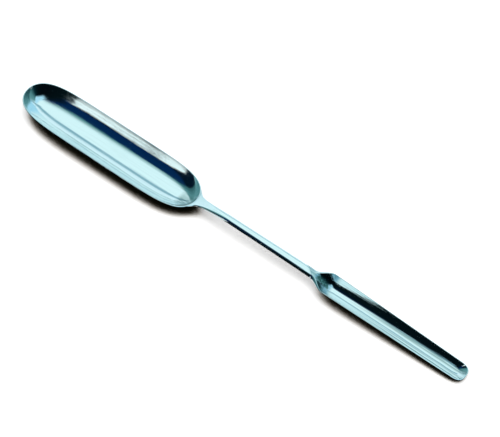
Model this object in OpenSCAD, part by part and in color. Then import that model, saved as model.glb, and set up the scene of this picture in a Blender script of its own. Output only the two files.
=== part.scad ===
// Double-ended marrow scoop: a broad oblong scoop and a narrow channel scoop on one plain stem.
// The length lies along X with the broad tip at -X, and the table that the scoop lies on is Z = 0.

/* [Overall] */
// Length from the broad tip to the narrow tip
overall_l = 225; // [205:1:245]

/* [Broad scoop] */
// Length of the broad scoop over its rim
broad_l = 91.5; // [80:0.5:98]
// Width of the broad scoop over its rim
broad_w = 21.1; // [18:0.1:24]
// Height of the broad rim above the table, at mid length
broad_h = 6.4; // [5.8:0.1:8]
// Rise of the broad rim from its heel to its tip
broad_rise = 1.8; // [0:0.1:2.4]
// Thickness of the broad floor at mid length
broad_floor = 1.4; // [1.2:0.1:1.8]
// Rise of the hollow's floor from the heel to the tip
broad_floor_rise = 1.2; // [0:0.1:1.4]
// Radius over the outer edge of the broad rim
broad_edge_r = 0.5; // [0.4:0.1:1.2]
// Width of the flat that the broad scoop rests on
broad_flat_w = 7; // [5:0.5:9]
// Length over which the broad tip's wall sweeps down to the floor
broad_tip_end_l = 7.5; // [6:0.5:12]
// Length over which the broad heel's wall sweeps down to the floor
broad_heel_end_l = 4.5; // [3.5:0.5:8]

/* [Stem] */
// Width of the stem at its waist, next to the shoulder
waist_w = 4.1; // [3.4:0.1:4.8]
// Width of the stem where the narrow scoop is scarfed on
scarf_w = 4.5; // [3.8:0.1:5.2]
// Thickness of the stem from its crown to its round back
stem_t = 2.3; // [2:0.1:3]
// Height of the stem's crown above the table, at the waist
waist_z = 7.7; // [7:0.1:9]
// Upward slope of the stem's crown as it leaves the waist, in millimetres a metre
waist_slope = -25; // [-60:5:40]
// Radius over the edges of the stem's crown
stem_edge_r = 2.1; // [1:0.1:2.4]
// Width of the shoulder where it seats on the broad heel
shoulder_w = 10; // [8:0.1:11]
// Length of the shoulder from the broad heel to the waist
shoulder_l = 18; // [12:0.5:22]
// Height above the table of the drop, the tongue of the stem that laps under the broad heel
drop_z = 0.9; // [0.6:0.1:1.6]

/* [Narrow scoop] */
// Length of the narrow scoop from the middle of its scarf to its tip
narrow_l = 75.5; // [68:0.5:84]
// Width of the narrow scoop over its rim at the heel
narrow_heel_w = 10.6; // [9:0.1:12]
// Width of the narrow scoop over its rim where the tip begins to round
narrow_tip_w = 8.4; // [7:0.1:9.5]
// Inside depth of the narrow channel at the heel
narrow_heel_depth = 4.3; // [3.6:0.1:4.4]
// Inside depth of the narrow channel where the tip begins to round
narrow_tip_depth = 2; // [1.8:0.1:2.4]
// Thickness of the narrow floor
narrow_floor = 0.7; // [0.6:0.1:1]
// Radius over the outer edge of the narrow rim
narrow_edge_r = 0.35; // [0.3:0.05:0.6]
// Fall of the narrow rim from the scarf to where the tip begins to round
narrow_fall = 3.9; // [3.6:0.1:4.6]
// Length of the plain neck between the scarf and the flare
narrow_neck_l = 0.5; // [0.5:0.5:3]
// Length over which the neck flares out to the full channel
narrow_flare_l = 8.5; // [7.5:0.5:12]
// Length of the flare that stays flat on top, before the hollow ramps down
narrow_flat_l = 1.5; // [1:0.5:3]
// Length over which the hollow ramps down to its full depth
narrow_ramp_l = 8; // [6:0.5:11]
// Length of the rounded tip
narrow_tip_l = 5.5; // [4:0.5:8]

/* [Solder joints] */
// Thickness of the solder in both joints
solder_t = 0.25; // [0.1:0.05:0.3]
// Clearance between the broad heel's curved wall and the solder on it
solder_fit = 0.03; // [0.02:0.01:0.05]
// Slant of the scarf across the stem, in millimetres along for each millimetre across
scarf_slant = 1.2; // [0:0.1:1.5]
// Length of stem, and of narrow scoop, over which the sections turn to meet the scarf
scarf_turn_l = 9; // [8:0.5:12]

/* [Hidden] */

silver = [0.8, 0.87, 0.89];
solder = [0.62, 0.66, 0.64];

// Roundness of the broad plan at its ends and along its sides
broad_plan = [6.3, 2.1];
// Roundness of the narrow tip's plan
narrow_plan = [2.8, 2.8];
// Curves of the hollows and the backs, as the powers of a superellipse
broad_hollow_curve = [2.75, 1];
broad_back_curve = [2, 1];
narrow_hollow_curve = [2.2, 1];
slim_back_curve = [1.8, 1];
// Sharpness of the shoulder's flare and of the narrow hollow's shallowing, as powers
shoulder_flare = 5.4;
narrow_shallowing = 1.5;
// Share of the half width that is flat at the bottom of the stem, the narrow back and the hollows
keel_share = 0.25;
hollow_share = 0.1;
// Slope of a rim's surface at its outer corner, which the edge rounds over from there to the crest
broad_corner = 48;
slim_corner = 33;
// The small arc from the crest into the hollow
inner_edge_r = 0.12;
inner_turn = 60;

broad_side_steps = 12;
broad_end_steps = 22;
broad_side_reach = 0.75;
narrow_flare_steps = 14;
narrow_side_steps = 9;
narrow_tip_steps = 18;
back_steps = 8;
edge_steps = 3;
inner_steps = 2;
hollow_steps = 9;
shoulder_steps = 16;
stem_steps = 16;
scarf_steps = 8;
across_steps = 10;

broad_a = broad_l / 2;
broad_b = broad_w / 2;
broad_x = -overall_l / 2 + broad_a;
broad_heel_x = broad_x + broad_a;
broad_flat = broad_flat_w / broad_w;
broad_edge_w = broad_edge_r * cos(broad_corner);
broad_edge_h = broad_edge_r * (1 - sin(broad_corner));
slim_edge_w = cos(slim_corner);
slim_edge_h = 1 - sin(slim_corner);
inner_edge_w = inner_edge_r * sin(inner_turn);
inner_edge_h = inner_edge_r * (1 - cos(inner_turn));
broad_wall = broad_edge_w + inner_edge_w;
waist_x = broad_heel_x + shoulder_l;

tip_x = overall_l / 2;
tip_round_x = tip_x - narrow_tip_l;
scarf_x = tip_x - narrow_l;
flare_x = scarf_x + narrow_neck_l;
ramp_x = flare_x + narrow_flat_l;
channel_x = flare_x + narrow_flare_l;
scarf_top_z = narrow_tip_depth + narrow_floor + narrow_fall;
narrow_slope = -narrow_fall / (tip_round_x - scarf_x);
scarf_gap = solder_t * sqrt(1 + scarf_slant * scarf_slant);

function mix(a, b, t) = a + (b - a) * t;
function part_way(x, from, to) = max(0, min(1, (x - from) / (to - from)));
function ease(t) = t * t * (3 - 2 * t);
function power(v, n) = sign(v) * pow(abs(v), n);
function steps(from, to, n) = [for (i = [0 : n]) mix(from, to, i / n)];

// A curve from height z0 to z1 over the length l that leaves at slope m0 and arrives at slope m1
function sweep_z(t, l, z0, z1, m0, m1) =
    mix(z0, z1, ease(t)) + l * t * (1 - t) * (m0 * (1 - t) - m1 * t);

// Height of a rounded hollow or back, 0 at its bottom and 1 at its rim, at the share r of the way out
function bowl_rise(r, curve) = 1 - pow(max(0, 1 - pow(r, curve[0])), 1 / curve[1]);
// The share of the way out at which a rounded back has the height h
function bowl_reach(h, curve) = pow(max(0, 1 - pow(1 - h, curve[1])), 1 / curve[0]);

// Rings from the flat bottom out to the rim, closer together where the wall is steep
function ring_shares(flat, n) = [for (t = steps(0, 1, n)) mix(flat, 1, 1 - pow(1 - t, 1.7))];

// An arc of the radius 1 from the outer corner up to the crest, and the small arc inside the crest: how far
// in, and how far down
function outer_edge(turn, corner) = [cos(corner) - cos(turn), 1 - sin(turn)];
function inner_edge(turn) = inner_edge_r * [sin(turn), 1 - cos(turn)];
function outer_turns(corner) = [for (i = [1 : edge_steps]) mix(corner, 90, i / edge_steps)];
inner_turns = [for (i = [1 : inner_steps - 1]) inner_turn * i / inner_steps];

// Broad scoop: a ring's share of the way out to the rim gives its half length and half width
function oblong_end(angle) =
    [power(cos(angle), 2 / broad_plan[0]), power(sin(angle), 2 / broad_plan[1])];
function oblong_side(x) = pow(1 - pow(abs(x), broad_plan[0]), 1 / broad_plan[1]);
end_angle = acos(pow(broad_side_reach, broad_plan[0] / 2));
side_marks = steps(broad_side_reach, -broad_side_reach, broad_side_steps);
inner_marks = [for (i = [1 : broad_side_steps - 1]) side_marks[i]];
oblong = concat(
    [for (a = steps(-end_angle, end_angle, broad_end_steps)) oblong_end(a)],
    [for (x = inner_marks) [x, oblong_side(x)]],
    [for (a = steps(180 - end_angle, 180 + end_angle, broad_end_steps)) oblong_end(a)],
    [for (x = inner_marks) [-x, -oblong_side(x)]]
);

function broad_rim_z(x) = broad_h + broad_rise * (broad_x - x) / broad_l;
function broad_floor_z(x) = broad_floor + broad_floor_rise * (broad_x - x) / broad_l;
// Half the length of a ring, toward the heel or toward the tip
function broad_long(r, heelward) = broad_a - (heelward ? broad_heel_end_l : broad_tip_end_l) * (1 - r);
function broad_place(r, inset, p) =
    [broad_x + (broad_long(r, p[0] > 0) - inset) * p[0], (broad_b - inset) * r * p[1]];
function broad_back(r, p) =
    let (
        at = broad_place(r, 0, p),
        rise = bowl_rise(part_way(r, broad_flat, 1), broad_back_curve)
    )
    [at[0], at[1], (broad_rim_z(at[0]) - broad_edge_h) * rise];
function broad_lip(step, p) =
    let (at = broad_place(1, step[0], p))
    [at[0], at[1], broad_rim_z(at[0]) - step[1]];
function broad_hollow(r, p) =
    let (
        at = broad_place(r, broad_wall, p),
        rise = bowl_rise(r, broad_hollow_curve)
    )
    [at[0], at[1], mix(broad_floor_z(at[0]), broad_rim_z(at[0]) - inner_edge_h, rise)];
broad_lip_steps = concat(
    [for (turn = outer_turns(broad_corner)) broad_edge_r * outer_edge(turn, broad_corner)],
    [for (turn = inner_turns) inner_edge(turn) + [broad_edge_w, 0]]
);

// Where the broad scoop's outside lies along X behind the heel, at the place y across and the height z
function heel_x(y, z, x = broad_heel_x, tries = 4) =
    tries == 0 ? x :
    let (
        below = max(0, broad_rim_z(x) - z),
        on_edge = below < broad_edge_h,
        turn = on_edge ? asin(1 - below / broad_edge_r) : broad_corner,
        inset = broad_edge_r * outer_edge(turn, broad_corner)[0],
        height = min(1, z / (broad_rim_z(x) - broad_edge_h)),
        r = on_edge ? 1 : mix(broad_flat, 1, bowl_reach(height, broad_back_curve)),
        across = min(1, abs(y) / ((broad_b - inset) * r)),
        along = pow(1 - pow(across, broad_plan[1]), 1 / broad_plan[0])
    )
    heel_x(y, z, broad_x + (broad_long(r, true) - inset) * along, tries - 1);

// The stem's and the narrow scoop's top line, half width, thickness and edges at the place x along the length
function top_z(x) =
    x < waist_x ?
        sweep_z(
            part_way(x, broad_heel_x, waist_x), shoulder_l,
            broad_rim_z(broad_heel_x), waist_z, 0, waist_slope / 1000
        ) :
    x < scarf_x ?
        sweep_z(
            part_way(x, waist_x, scarf_x), scarf_x - waist_x,
            waist_z, scarf_top_z, waist_slope / 1000, narrow_slope
        ) :
    scarf_top_z + narrow_slope * (x - scarf_x);
function half_w(x) =
    x < waist_x ? mix(waist_w, shoulder_w, pow(1 - part_way(x, broad_heel_x, waist_x), shoulder_flare)) / 2 :
    x < scarf_x ? mix(waist_w, scarf_w, ease(part_way(x, waist_x, scarf_x))) / 2 :
    mix(
        scarf_w,
        mix(narrow_heel_w, narrow_tip_w, part_way(x, channel_x, tip_round_x)),
        channel_share(x)
    ) / 2;
function thick(x) =
    x < waist_x ?
        mix(broad_rim_z(broad_heel_x) - drop_z, stem_t, ease(part_way(x, broad_heel_x, waist_x))) :
    mix(stem_t, full_depth(x) + narrow_floor, channel_share(x));
function edge_r(x) =
    min(
        x < waist_x ?
            mix(broad_edge_r, stem_edge_r, ease(part_way(x, broad_heel_x, waist_x))) :
            mix(stem_edge_r, narrow_edge_r, channel_share(x)),
        0.9 * half_w(x) / slim_edge_w
    );

// How far the neck has opened into the full channel, and how much of its full depth the hollow has, at x
function channel_share(x) = ease(part_way(x, flare_x, channel_x));
function ramp_share(x) = ease(part_way(x, ramp_x, ramp_x + narrow_ramp_l));
// The hollow's depth along the channel, which shallows from the heel to the tip
function full_depth(x) =
    mix(
        narrow_tip_depth, narrow_heel_depth,
        pow(1 - part_way(x, channel_x, tip_round_x), narrow_shallowing)
    );

// Stem: each section is a grid of points, in rows from the round back up over the edges to the crown. A row
// has its share of the way out, its turn over the edge and its height up the back.
section_rows = concat(
    [
        for (r = ring_shares(keel_share, back_steps))
        [r, slim_corner, bowl_rise(part_way(r, keel_share, 1), slim_back_curve)]
    ],
    [for (turn = outer_turns(slim_corner)) [1, turn, 1]]
);
function row_inset(row) = [outer_edge(row[1], slim_corner)[0], 0];
// An inset is a share of the edge's radius at the place, and a plain length
function inset_at(x, inset) = edge_r(x) * inset[0] + inset[1];
function section_point(x, row, across) =
    let (drop = edge_r(x) * outer_edge(row[1], slim_corner)[1])
    [
        (half_w(x) - inset_at(x, row_inset(row))) * row[0] * across,
        mix(top_z(x) - thick(x), top_z(x) - drop, row[2])
    ];
// The section at x, with its points bent back along X to follow the broad heel near the shoulder's end
function shoulder_section(x, off) =
    let (bend = pow(1 - part_way(x, broad_heel_x, waist_x), 2))
    [
        for (row = section_rows)
        [
            for (across = steps(-1, 1, across_steps))
            let (p = section_point(x, row, across))
            [mix(x, heel_x(p[0], p[1]) + off, bend), p[0], p[1]]
        ]
    ];
// The place along X where a line that starts at x on the axis, and slants as the scarf does, has gone
// the share of the way out to the edge, less an inset
function slant_x(x, slant, share, inset, from = undef, tries = 16) =
    tries == 0 ? from :
    let (at = is_undef(from) ? x : from)
    slant_x(x, slant, share, inset, x - slant * (half_w(at) - inset_at(at, inset)) * share, tries - 1);
// The section at x, with its points slanted along X to follow the scarf near the stem's end
function scarf_section(x) =
    let (slant = scarf_slant * ease(part_way(x, scarf_x - scarf_turn_l, scarf_x - scarf_gap)))
    [
        for (row = section_rows)
        [
            for (across = steps(-1, 1, across_steps))
            let (
                at = slant_x(x, slant, row[0] * across, row_inset(row)),
                p = section_point(at, row, across)
            )
            [at, p[0], p[1]]
        ]
    ];

// Narrow scoop: lines that run from the keel out to the rim, down one side, round the tip and back
narrow_marks = concat(
    steps(scarf_x, flare_x, 1),
    [for (i = [1 : narrow_flare_steps]) mix(flare_x, channel_x, i / narrow_flare_steps)],
    [for (i = [1 : narrow_side_steps]) mix(channel_x, tip_round_x, i / narrow_side_steps)]
);
mark_count = len(narrow_marks);
tip_angles = [for (i = [1 : narrow_tip_steps - 1]) mix(-90, 90, i / narrow_tip_steps)];
function tip_turn(angle) =
    [power(cos(angle), 2 / narrow_plan[0]), power(sin(angle), 2 / narrow_plan[1])];
narrow_lines = concat(
    [for (x = narrow_marks) [x, [0, -1]]],
    [for (a = tip_angles) [tip_round_x, tip_turn(a)]],
    [for (i = [1 : mark_count]) [narrow_marks[mark_count - i], [0, 1]]]
);
// A point the share r of the way out along a line: its place along the top line, and its x and y
function narrow_place(line, r, inset) =
    let (
        slant = scarf_slant * (1 - ease(part_way(line[0], scarf_x, scarf_x + scarf_turn_l))),
        at = slant_x(line[0], slant, r * line[1][1], inset),
        in = inset_at(at, inset)
    )
    [at, at + (narrow_tip_l - in) * r * line[1][0], (half_w(at) - in) * r * line[1][1]];
function narrow_back(r, line) =
    let (
        p = narrow_place(line, r, [0, 0]),
        rise = bowl_rise(part_way(r, keel_share, 1), slim_back_curve)
    )
    [p[1], p[2], mix(top_z(p[0]) - thick(p[0]), top_z(p[1]) - edge_r(p[0]) * slim_edge_h, rise)];
// A lip's step has its inset, and its drop as a share of the edge's radius and a length in the hollow
function narrow_lip(step, line) =
    let (p = narrow_place(line, 1, step[0]))
    [p[1], p[2], top_z(p[1]) - edge_r(p[0]) * step[1][0] - ramp_share(p[0]) * step[1][1]];
function narrow_hollow(r, line) =
    let (
        p = narrow_place(line, r, [slim_edge_w, inner_edge_w]),
        low = top_z(p[0]) - full_depth(p[0]) * ramp_share(p[0]),
        high = top_z(p[1]) - inner_edge_h * ramp_share(p[0])
    )
    [p[1], p[2], mix(low, high, bowl_rise(r, narrow_hollow_curve))];
narrow_lip_steps = concat(
    [
        for (turn = outer_turns(slim_corner))
        let (edge = outer_edge(turn, slim_corner))
        [[edge[0], 0], [edge[1], 0]]
    ],
    [
        for (turn = inner_turns)
        let (edge = inner_edge(turn))
        [[slim_edge_w, edge[0]], [0, edge[1]]]
    ]
);

// A shell from rings of points that run from the back's flat out to the rim and in to the hollow's floor.
// A closed shell's rings go all the way round, and an open one's start and end at a flat face.
module shell(rings, closed) {
    count = len(rings[0]);
    last = len(rings) - 1;
    spans = closed ? count : count - 1;
    half = floor((closed ? spans : count - 2) / 2);
    shift = closed ? floor(broad_end_steps / 2) : 0;
    // The point opposite the point i, across the middle of the flat
    function near(i) = (shift + i) % count;
    function far(i) = (shift + count * 2 - i - (closed ? 0 : 1)) % count;
    walls = [
        for (k = [0 : last - 1])
        for (i = [0 : spans - 1])
        let (a = k * count + i, b = k * count + (i + 1) % count)
        each [[a, a + count, b + count], [a, b + count, b]]
    ];
    flats = [
        for (i = [0 : half - (closed ? 1 : 0)])
        each [[near(i), near(i + 1), far(i + 1)], [near(i), far(i + 1), far(i)]]
    ];
    bottom = [for (f = flats) if (f[0] != f[1] && f[1] != f[2] && f[0] != f[2]) f];
    top = [for (f = bottom) [f[2] + last * count, f[1] + last * count, f[0] + last * count]];
    face = concat(
        [for (k = [0 : last]) k * count],
        [for (k = [0 : last]) (last - k) * count + count - 1]
    );
    polyhedron(
        [for (ring = rings) each ring],
        concat(walls, bottom, top, closed ? [] : [[for (i = [len(face) - 1 : -1 : 0]) face[i]]])
    );
}

// A bar from sections that are all grids of the same size, closed by the first grid and the last
module bar(sections) {
    rows = len(sections[0]);
    columns = len(sections[0][0]);
    size = rows * columns;
    last = len(sections) - 1;
    edge = concat(
        [for (c = [0 : columns - 2]) c],
        [for (r = [0 : rows - 2]) r * columns + columns - 1],
        [for (c = [columns - 1 : -1 : 1]) (rows - 1) * columns + c],
        [for (r = [rows - 1 : -1 : 1]) r * columns]
    );
    walls = [
        for (k = [0 : last - 1])
        for (i = [0 : len(edge) - 1])
        let (
            a = k * size + edge[i],
            b = k * size + edge[(i + 1) % len(edge)]
        )
        each [[a, a + size, b + size], [a, b + size, b]]
    ];
    cap = [
        for (r = [0 : rows - 2])
        for (c = [0 : columns - 2])
        let (a = r * columns + c)
        each [[a, a + 1, a + columns + 1], [a, a + columns + 1, a + columns]]
    ];
    far_cap = [for (f = cap) [f[2] + last * size, f[1] + last * size, f[0] + last * size]];
    polyhedron(
        [for (grid = sections) each [for (row = grid) each row]],
        concat(walls, cap, far_cap)
    );
}

module broad_scoop() {
    color(silver)
    shell(
        concat(
            [for (r = ring_shares(broad_flat, back_steps)) [for (p = oblong) broad_back(r, p)]],
            [for (step = broad_lip_steps) [for (p = oblong) broad_lip(step, p)]],
            [
                for (i = [0 : hollow_steps])
                let (r = ring_shares(hollow_share, hollow_steps)[hollow_steps - i])
                [for (p = oblong) broad_hollow(r, p)]
            ]
        ),
        true
    );
}

module broad_solder() {
    color(solder)
    bar([
        shoulder_section(broad_heel_x, solder_fit),
        shoulder_section(broad_heel_x, solder_fit + solder_t)
    ]);
}

module stem() {
    turn_x = scarf_x - scarf_turn_l;
    color(silver)
    bar(concat(
        [
            for (x = steps(broad_heel_x, waist_x, shoulder_steps))
            shoulder_section(x, solder_fit + solder_t)
        ],
        [for (i = [1 : stem_steps]) scarf_section(mix(waist_x, turn_x, i / stem_steps))],
        [
            for (i = [1 : scarf_steps])
            scarf_section(mix(turn_x, scarf_x - scarf_gap, i / scarf_steps))
        ]
    ));
}

module narrow_solder() {
    color(solder)
    bar([
        scarf_section(scarf_x - scarf_gap),
        scarf_section(scarf_x)
    ]);
}

module narrow_scoop() {
    color(silver)
    shell(
        concat(
            [for (r = ring_shares(keel_share, back_steps)) [for (l = narrow_lines) narrow_back(r, l)]],
            [for (step = narrow_lip_steps) [for (l = narrow_lines) narrow_lip(step, l)]],
            [
                for (i = [0 : hollow_steps])
                let (r = ring_shares(hollow_share, hollow_steps)[hollow_steps - i])
                [for (l = narrow_lines) narrow_hollow(r, l)]
            ]
        ),
        false
    );
}

broad_scoop();
broad_solder();
stem();
narrow_solder();
narrow_scoop();
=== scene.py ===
import math

import bpy
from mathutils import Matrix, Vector


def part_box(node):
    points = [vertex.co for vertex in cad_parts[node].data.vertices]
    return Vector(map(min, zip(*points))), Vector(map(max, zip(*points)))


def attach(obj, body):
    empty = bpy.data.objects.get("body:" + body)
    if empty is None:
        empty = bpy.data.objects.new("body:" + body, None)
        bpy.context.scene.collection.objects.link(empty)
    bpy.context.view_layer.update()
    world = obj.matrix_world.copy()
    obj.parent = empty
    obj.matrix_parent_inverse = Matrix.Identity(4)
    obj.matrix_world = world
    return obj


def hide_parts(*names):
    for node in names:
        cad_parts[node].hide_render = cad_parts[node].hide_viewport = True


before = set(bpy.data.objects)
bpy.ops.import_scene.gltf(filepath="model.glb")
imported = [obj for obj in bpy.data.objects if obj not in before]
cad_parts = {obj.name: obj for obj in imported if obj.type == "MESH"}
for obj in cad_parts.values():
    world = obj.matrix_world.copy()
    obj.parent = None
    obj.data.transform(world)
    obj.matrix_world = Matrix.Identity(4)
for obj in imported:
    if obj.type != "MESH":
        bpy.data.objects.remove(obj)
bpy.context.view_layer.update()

# Double-ended silver marrow scoop on a white table. Shapes are worked out in millimetres, as on a
# maker's drawing, with the length along X, and each mesh is scaled to metres when it is made.
MM = 0.001


# Sizes that the frame gives
def drawn_box(node):
    low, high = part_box(node)
    return low / MM, high / MM


broad_low, broad_high = drawn_box("broad_scoop")
narrow_low, narrow_high = drawn_box("narrow_scoop")

# Broad scoop
BROAD_RISE = 1.8
BROAD_FLOOR = 1.4
BROAD_FLOOR_RISE = 1.2
BROAD_FLAT_W = 7.0
BROAD_TIP_END_L = 7.5
BROAD_HEEL_END_L = 4.5
BROAD_PLAN = (6.3, 2.1)
BROAD_EDGE_R = 0.5
broad_l = broad_high.x - broad_low.x
broad_w = broad_high.y - broad_low.y
broad_x = (broad_low.x + broad_high.x) / 2
broad_heel_x = broad_high.x
broad_h = broad_high.z - BROAD_RISE / 2
broad_flat = BROAD_FLAT_W / broad_w

# Stem
WAIST_W = 4.1
SCARF_W = 4.5
STEM_T = 2.3
WAIST_Z = 7.69
WAIST_SLOPE = -0.025
SHOULDER_W = 10.0
SHOULDER_L = 18.0
SHOULDER_FLARE = 5.4
SHOULDER_BEND = 2
DROP_Z = 0.9
STEM_EDGE_R = 2.1
waist_x = broad_heel_x + SHOULDER_L

# Narrow scoop
NARROW_L = 75.5
NARROW_TIP_W = 8.4
NARROW_FLOOR = 0.7
NARROW_HEEL_DEPTH = 4.3
NARROW_TIP_DEPTH = 2.0
NARROW_FALL = 3.9
NARROW_NECK_L = 0.5
NARROW_FLARE_L = 8.5
NARROW_TIP_L = 5.5
NARROW_EDGE_R = 0.35
NARROW_FLAT_L = 1.5
NARROW_RAMP_L = 8.0
NARROW_PLAN = 2.8
NARROW_SHALLOWING = 1.5
narrow_heel_w = narrow_high.y - narrow_low.y
tip_round_x = narrow_high.x - NARROW_TIP_L
scarf_x = narrow_high.x - NARROW_L
flare_x = scarf_x + NARROW_NECK_L
ramp_x = flare_x + NARROW_FLAT_L
channel_x = flare_x + NARROW_FLARE_L
scarf_top_z = NARROW_TIP_DEPTH + NARROW_FLOOR + NARROW_FALL
narrow_slope = -NARROW_FALL / (tip_round_x - scarf_x)

# Solder joints
SOLDER_T = 0.25
SOLDER_FIT = 0.03
SOLDER_SINK = 0.05
SCARF_SLANT = 1.2
SCARF_TURN_L = 9.0
scarf_gap = SOLDER_T * math.sqrt(1 + SCARF_SLANT ** 2)

# Curves of the hollows and the backs, as powers, and the shares of the half width that are flat
BROAD_HOLLOW_CURVE = (2.75, 1.0)
BROAD_BACK_CURVE = (2.0, 1.0)
NARROW_HOLLOW_CURVE = (2.2, 1.0)
SLIM_BACK_CURVE = (1.8, 1.0)
KEEL_SHARE = 0.25
HOLLOW_SHARE = 0.02
# The rim is an arc from a corner at the outside up to its crest, and a small arc from there into the
# hollow. A turn is the slope of the arc's normal.
BROAD_CORNER = math.radians(48)
SLIM_CORNER = math.radians(33)
INNER_EDGE_R = 0.12
INNER_TURN = math.radians(60)

# How finely each surface is drawn
BROAD_END_STEPS = 72
BROAD_SIDE_STEPS = 72
BROAD_SIDE_REACH = 0.75
BACK_STEPS = 26
EDGE_STEPS = 12
INNER_STEPS = 5
HOLLOW_STEPS = 44
FLARE_STEPS = 44
CHANNEL_STEPS = 48
TIP_STEPS = 56
SHOULDER_STEPS = 48
STEM_STEPS = 60
SCARF_STEPS = 16
NECK_STEPS = 2
ACROSS_STEPS = 28
RING_CROWDING = 1.6
# Rounds that settle where the heel and the slanted lines lie along the length
HEEL_ROUNDS = 4
SLANT_ROUNDS = 16
# Rings beside the lip over which its wear fades
WORN_RINGS = 4


# Curves
def mix(a, b, t):
    return a + (b - a) * t


def part_way(x, start, end):
    return max(0.0, min(1.0, (x - start) / (end - start)))


def ease(t):
    return t * t * (3 - 2 * t)


def power(v, n):
    return math.copysign(abs(v) ** n, v)


def steps(start, end, n):
    return [mix(start, end, i / n) for i in range(n + 1)]


def sweep_z(t, length, z0, z1, m0, m1):
    """A curve from height z0 to z1 that leaves at slope m0 and arrives at slope m1."""
    return mix(z0, z1, ease(t)) + length * t * (1 - t) * (m0 * (1 - t) - m1 * t)


def bowl_rise(r, curve):
    """Height of a rounded hollow or back, from 0 at its bottom to 1 at its rim."""
    return 1 - max(0.0, 1 - r ** curve[0]) ** (1 / curve[1])


def bowl_reach(h, curve):
    """The share of the way out at which a rounded back has the height h."""
    return max(0.0, 1 - (1 - h) ** curve[1]) ** (1 / curve[0])


def ring_shares(flat, n):
    """Shares of the way out to the rim, closer together where the wall is steep."""
    return [mix(flat, 1, 1 - (1 - t) ** RING_CROWDING) for t in steps(0, 1, n)]


def outer_edge(turn, corner):
    """An arc of the radius 1 from the outer corner up to the crest: how far in, and how far down."""
    return math.cos(corner) - math.cos(turn), 1 - math.sin(turn)


def inner_edge(turn):
    """The small arc inside the crest: how far in from the crest, and how far down."""
    return INNER_EDGE_R * math.sin(turn), INNER_EDGE_R * (1 - math.cos(turn))


inner_edge_w, inner_edge_h = inner_edge(INNER_TURN)
broad_edge_w = BROAD_EDGE_R * math.cos(BROAD_CORNER)
broad_edge_h = BROAD_EDGE_R * (1 - math.sin(BROAD_CORNER))
slim_edge_w = math.cos(SLIM_CORNER)
slim_edge_h = 1 - math.sin(SLIM_CORNER)


# The broad scoop's plan, from the heel's end round both sides, with half length and half width of 1
def oblong_end(angle):
    return (power(math.cos(angle), 2 / BROAD_PLAN[0]), power(math.sin(angle), 2 / BROAD_PLAN[1]))


def oblong_side(x):
    return (1 - abs(x) ** BROAD_PLAN[0]) ** (1 / BROAD_PLAN[1])


def oblong_plan():
    turn = math.acos(BROAD_SIDE_REACH ** (BROAD_PLAN[0] / 2))
    sides = steps(BROAD_SIDE_REACH, -BROAD_SIDE_REACH, BROAD_SIDE_STEPS)[1:-1]
    heel = [oblong_end(a) for a in steps(-turn, turn, BROAD_END_STEPS)]
    tip = [oblong_end(a) for a in steps(math.pi - turn, math.pi + turn, BROAD_END_STEPS)]
    far_side = [(x, oblong_side(x)) for x in sides]
    near_side = [(-x, -oblong_side(x)) for x in sides]
    return heel + far_side + tip + near_side


def broad_rim_z(x):
    return broad_h + BROAD_RISE * (broad_x - x) / broad_l


def broad_floor_z(x):
    return BROAD_FLOOR + BROAD_FLOOR_RISE * (broad_x - x) / broad_l


def broad_long(r, heelward):
    """Half the length of a ring, toward the heel or toward the tip."""
    return broad_l / 2 - (BROAD_HEEL_END_L if heelward else BROAD_TIP_END_L) * (1 - r)


def broad_ring(plan, r, inset, height):
    """One ring of the broad scoop; height gives the ring's height from a place along the length."""
    half_wide = (broad_w / 2 - inset) * r
    ring = []
    for across in plan:
        x = broad_x + (broad_long(r, across[0] > 0) - inset) * across[0]
        ring.append((x, half_wide * across[1], height(x)))
    return ring


def broad_rings():
    plan = oblong_plan()
    rings = []
    for r in ring_shares(broad_flat, BACK_STEPS):
        rise = bowl_rise(part_way(r, broad_flat, 1), BROAD_BACK_CURVE)
        rings.append(broad_ring(plan, r, 0.0, lambda x: (broad_rim_z(x) - broad_edge_h) * rise))
    for turn in steps(BROAD_CORNER, math.pi / 2, EDGE_STEPS)[1:]:
        inset, drop = outer_edge(turn, BROAD_CORNER)
        rings.append(
            broad_ring(plan, 1, BROAD_EDGE_R * inset, lambda x: broad_rim_z(x) - BROAD_EDGE_R * drop)
        )
    for turn in steps(0, INNER_TURN, INNER_STEPS)[1:-1]:
        inset, drop = inner_edge(turn)
        rings.append(broad_ring(plan, 1, broad_edge_w + inset, lambda x: broad_rim_z(x) - drop))
    wall = broad_edge_w + inner_edge_w
    for r in reversed(ring_shares(HOLLOW_SHARE, HOLLOW_STEPS)):
        rise = bowl_rise(r, BROAD_HOLLOW_CURVE)
        rings.append(
            broad_ring(
                plan, r, wall, lambda x: mix(broad_floor_z(x), broad_rim_z(x) - inner_edge_h, rise)
            )
        )
    return rings


def heel_x(y, z):
    """Where the broad scoop's outside lies along X behind the heel, y across and at the height z."""
    x = broad_heel_x
    for _ in range(HEEL_ROUNDS):
        below = broad_rim_z(x) - z
        r = 1.0
        inset = 0.0
        if below < broad_edge_h:
            turn = math.asin(min(1.0, 1 - below / BROAD_EDGE_R))
            inset = BROAD_EDGE_R * outer_edge(turn, BROAD_CORNER)[0]
        else:
            height = z / (broad_rim_z(x) - broad_edge_h)
            r = mix(broad_flat, 1, bowl_reach(height, BROAD_BACK_CURVE))
        across = min(1.0, abs(y) / ((broad_w / 2 - inset) * r))
        half_long = broad_long(r, True) - inset
        x = broad_x + half_long * (1 - across ** BROAD_PLAN[1]) ** (1 / BROAD_PLAN[0])
    return x


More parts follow.
